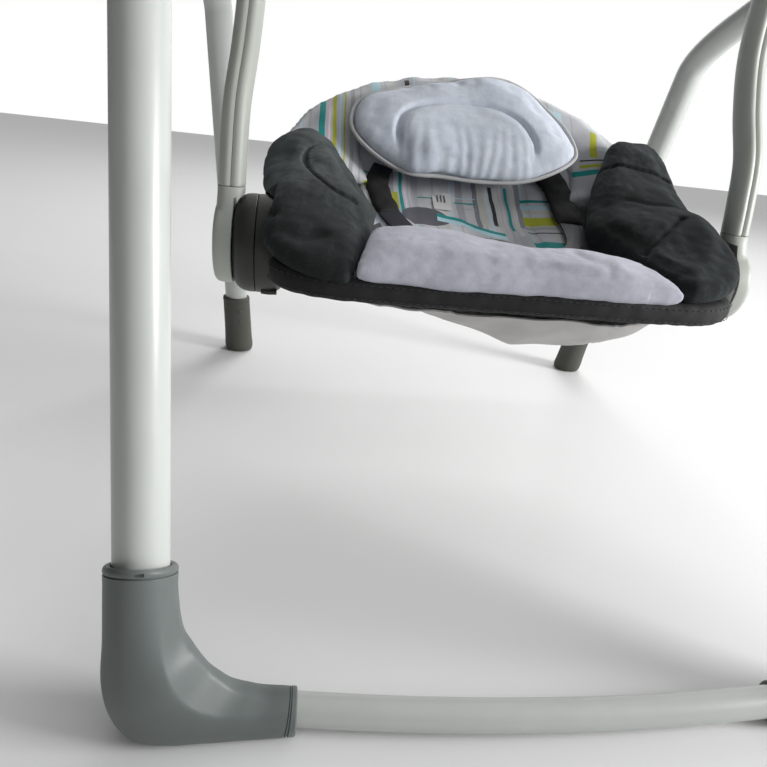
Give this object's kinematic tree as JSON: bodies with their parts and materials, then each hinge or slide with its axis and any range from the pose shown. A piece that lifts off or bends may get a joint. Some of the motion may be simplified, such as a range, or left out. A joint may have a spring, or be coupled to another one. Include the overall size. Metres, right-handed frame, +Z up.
{
  "type": "infant swing",
  "caption": "Freestanding infant swing: bent tube side frames with floor elbows, top pivot housings, hanging arms and a padded reclining hoop seat.",
  "frame": {"origin": "on the floor, under the middle of the footprint", "axes": "+Z up, the front (foot end of the seat) faces -Y, +X to the right of someone facing the swing"},
  "size_m": [0.7464, 0.7815, 0.748],
  "materials": {
    "painted_tube": "satin light grey paint",
    "arm_plastic": "satin light grey moulded plastic",
    "slate_plastic": "satin slate grey moulded plastic",
    "hub_plastic": "satin warm dark grey moulded plastic",
    "foot_rubber": "matte olive grey rubber",
    "steel": "turned steel",
    "bearing_plastic": "natural nylon",
    "button_plastic": "satin grey plastic",
    "copper": "enamelled winding wire",
    "board": "circuit board laminate",
    "cell": "wrapped dry cell",
    "charcoal_plush": "short charcoal plush",
    "lavender_plush": "short lavender-grey plush",
    "print_fabric": "woven cotton-look print, stripes in teal, lime, grey and black",
    "sling_fabric": "plain light grey woven lining",
    "black_binding": "black padded binding",
    "webbing": "dark woven webbing",
    "buckle_plastic": "satin dark plastic"
  },
  "bodies": {
    "frame": {"front_leg_left": "painted_tube", "front_leg_right": "painted_tube", "corner_elbow_left": "slate_plastic", "corner_elbow_right": "slate_plastic", "housing_inner_left": "slate_plastic", "housing_inner_right": "slate_plastic", "housing_outer_left": "slate_plastic", "housing_outer_right": "slate_plastic", "pivot_bush_left": "bearing_plastic", "pivot_bush_right": "bearing_plastic", "front_crossbar": "painted_tube", "drive_coil": "copper", "circuit_board": "board", "battery_cell_1": "cell", "battery_cell_2": "cell", "battery_cell_3": "cell", "battery_cell_4": "cell"},
    "rear_frame": {"rear_leg_left": "painted_tube", "rear_leg_right": "painted_tube", "rear_foot_left": "foot_rubber", "rear_foot_right": "foot_rubber", "fold_knuckle_left": "slate_plastic", "fold_knuckle_right": "slate_plastic", "rear_brace": "painted_tube"},
    "swing": {"arm_outer_left": "arm_plastic", "arm_outer_right": "arm_plastic", "arm_inner_left": "arm_plastic", "arm_inner_right": "arm_plastic", "arm_knuckle_left": "arm_plastic", "arm_knuckle_right": "arm_plastic", "hub_outer_left": "hub_plastic", "hub_outer_right": "hub_plastic", "hub_pin_left": "steel", "hub_pin_right": "steel", "pivot_axle_left": "steel", "pivot_axle_right": "steel", "drive_lever": "bearing_plastic", "drive_magnet": "steel"},
    "seat": {"hub_inner_left": "hub_plastic", "hub_inner_right": "hub_plastic", "hoop_bracket_left": "hub_plastic", "hoop_bracket_right": "hub_plastic", "bolster_left": "charcoal_plush", "bolster_right": "charcoal_plush", "shoulder_strap_left": "webbing", "shoulder_strap_right": "webbing", "seat_hoop": "steel", "edge_band": "black_binding", "seat_sling": "sling_fabric", "seat_pad": "print_fabric", "front_roll": "lavender_plush", "head_pillow": "lavender_plush", "crotch_strap": "webbing", "buckle_body": "buckle_plastic"},
    "battery_lid": {"battery_door": "slate_plastic"},
    "power_key": {"power_button": "button_plastic"},
    "speed_key": {"speed_button": "button_plastic"},
    "fold_key_left": {"fold_button_left": "button_plastic"},
    "fold_key_right": {"fold_button_right": "button_plastic"},
    "buckle_press": {"buckle_button": "button_plastic"}
  },
  "joints": [
    {"name": "swing_hinge", "type": "hinge", "parent": "frame", "child": "swing", "pos_m": [0, 0.0305, 0.68], "axis": [1, 0, 0], "range_deg": [-20, 20]},
    {"name": "seat_recline", "type": "hinge", "parent": "swing", "child": "seat", "pos_m": [0, -0.017, 0.269], "axis": [1, 0, 0], "range_deg": [0, 15]},
    {"name": "frame_fold", "type": "hinge", "parent": "frame", "child": "rear_frame", "pos_m": [0, 0.0305, 0.68], "axis": [-1, 0, 0], "range_deg": [0, 50]},
    {"name": "battery_door_hinge", "type": "hinge", "parent": "frame", "child": "battery_lid", "pos_m": [0.3085, 0.0622, 0.7416], "axis": [-1, 0, 0], "range_deg": [0, 100]},
    {"name": "power_press", "type": "slide", "parent": "frame", "child": "power_key", "axis": [-1, 0, 0], "range_m": [0, 0.0015], "stiffness_N_per_m": 500},
    {"name": "speed_press", "type": "slide", "parent": "frame", "child": "speed_key", "axis": [-1, 0, 0], "range_m": [0, 0.0015], "stiffness_N_per_m": 500},
    {"name": "fold_press_left", "type": "slide", "parent": "rear_frame", "child": "fold_key_left", "axis": [1, 0, 0], "range_m": [0, 0.0025], "stiffness_N_per_m": 1200},
    {"name": "fold_press_right", "type": "slide", "parent": "rear_frame", "child": "fold_key_right", "axis": [-1, 0, 0], "range_m": [0, 0.0025], "stiffness_N_per_m": 1200},
    {"name": "buckle_press", "type": "slide", "parent": "seat", "child": "buckle_press", "axis": [0, 0, -1], "range_m": [0, 0.0013], "stiffness_N_per_m": 800}
  ]
}
